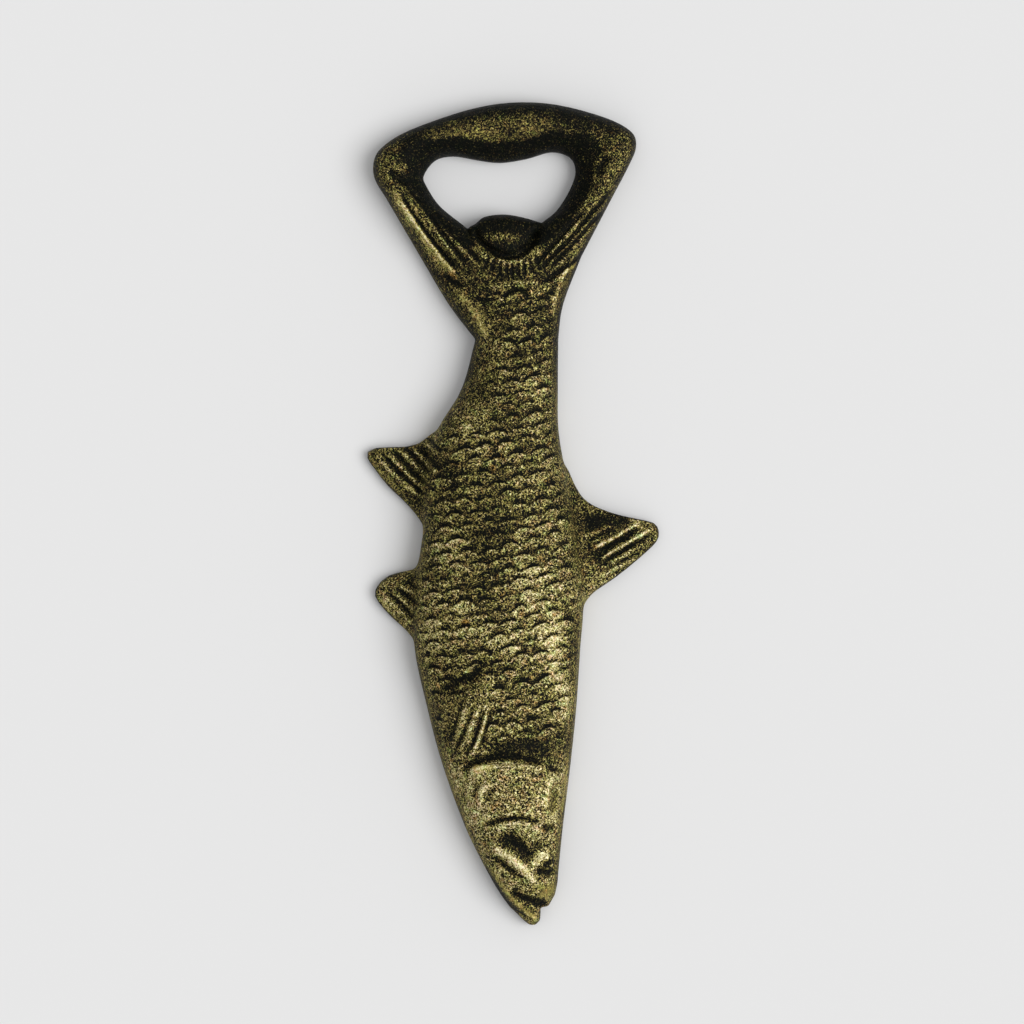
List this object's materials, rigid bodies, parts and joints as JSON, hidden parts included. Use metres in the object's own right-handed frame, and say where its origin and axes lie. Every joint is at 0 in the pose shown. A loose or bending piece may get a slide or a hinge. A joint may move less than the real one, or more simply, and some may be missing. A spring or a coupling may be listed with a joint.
{
  "type": "bottle opener",
  "caption": "Cast-iron bottle opener in the shape of a fish in low relief, with the opener's mouth in its tail fin.",
  "frame": {"origin": "middle of the outline's box on the flat back", "axes": "+Z out of the flat back, +Y towards the tail and its bottle mouth, +X across the fish towards the dorsal fin"},
  "size_m": [0.0634, 0.1788, 0.0133],
  "materials": {
    "painted_iron": "matt black paint with antique gold rubbed over the raised detail"
  },
  "bodies": {
    "root": {"pry_bar": "painted_iron", "left_lobe": "painted_iron", "right_lobe": "painted_iron", "cap_tooth": "painted_iron", "tail_fan": "painted_iron", "tail_stock": "painted_iron", "trunk": "painted_iron", "dorsal_fin": "painted_iron", "anal_fin": "painted_iron", "pelvic_fin": "painted_iron", "pectoral_fin": "painted_iron", "gill_cover": "painted_iron", "head": "painted_iron", "eye": "painted_iron", "lower_jaw": "painted_iron"}
  },
  "joints": []
}
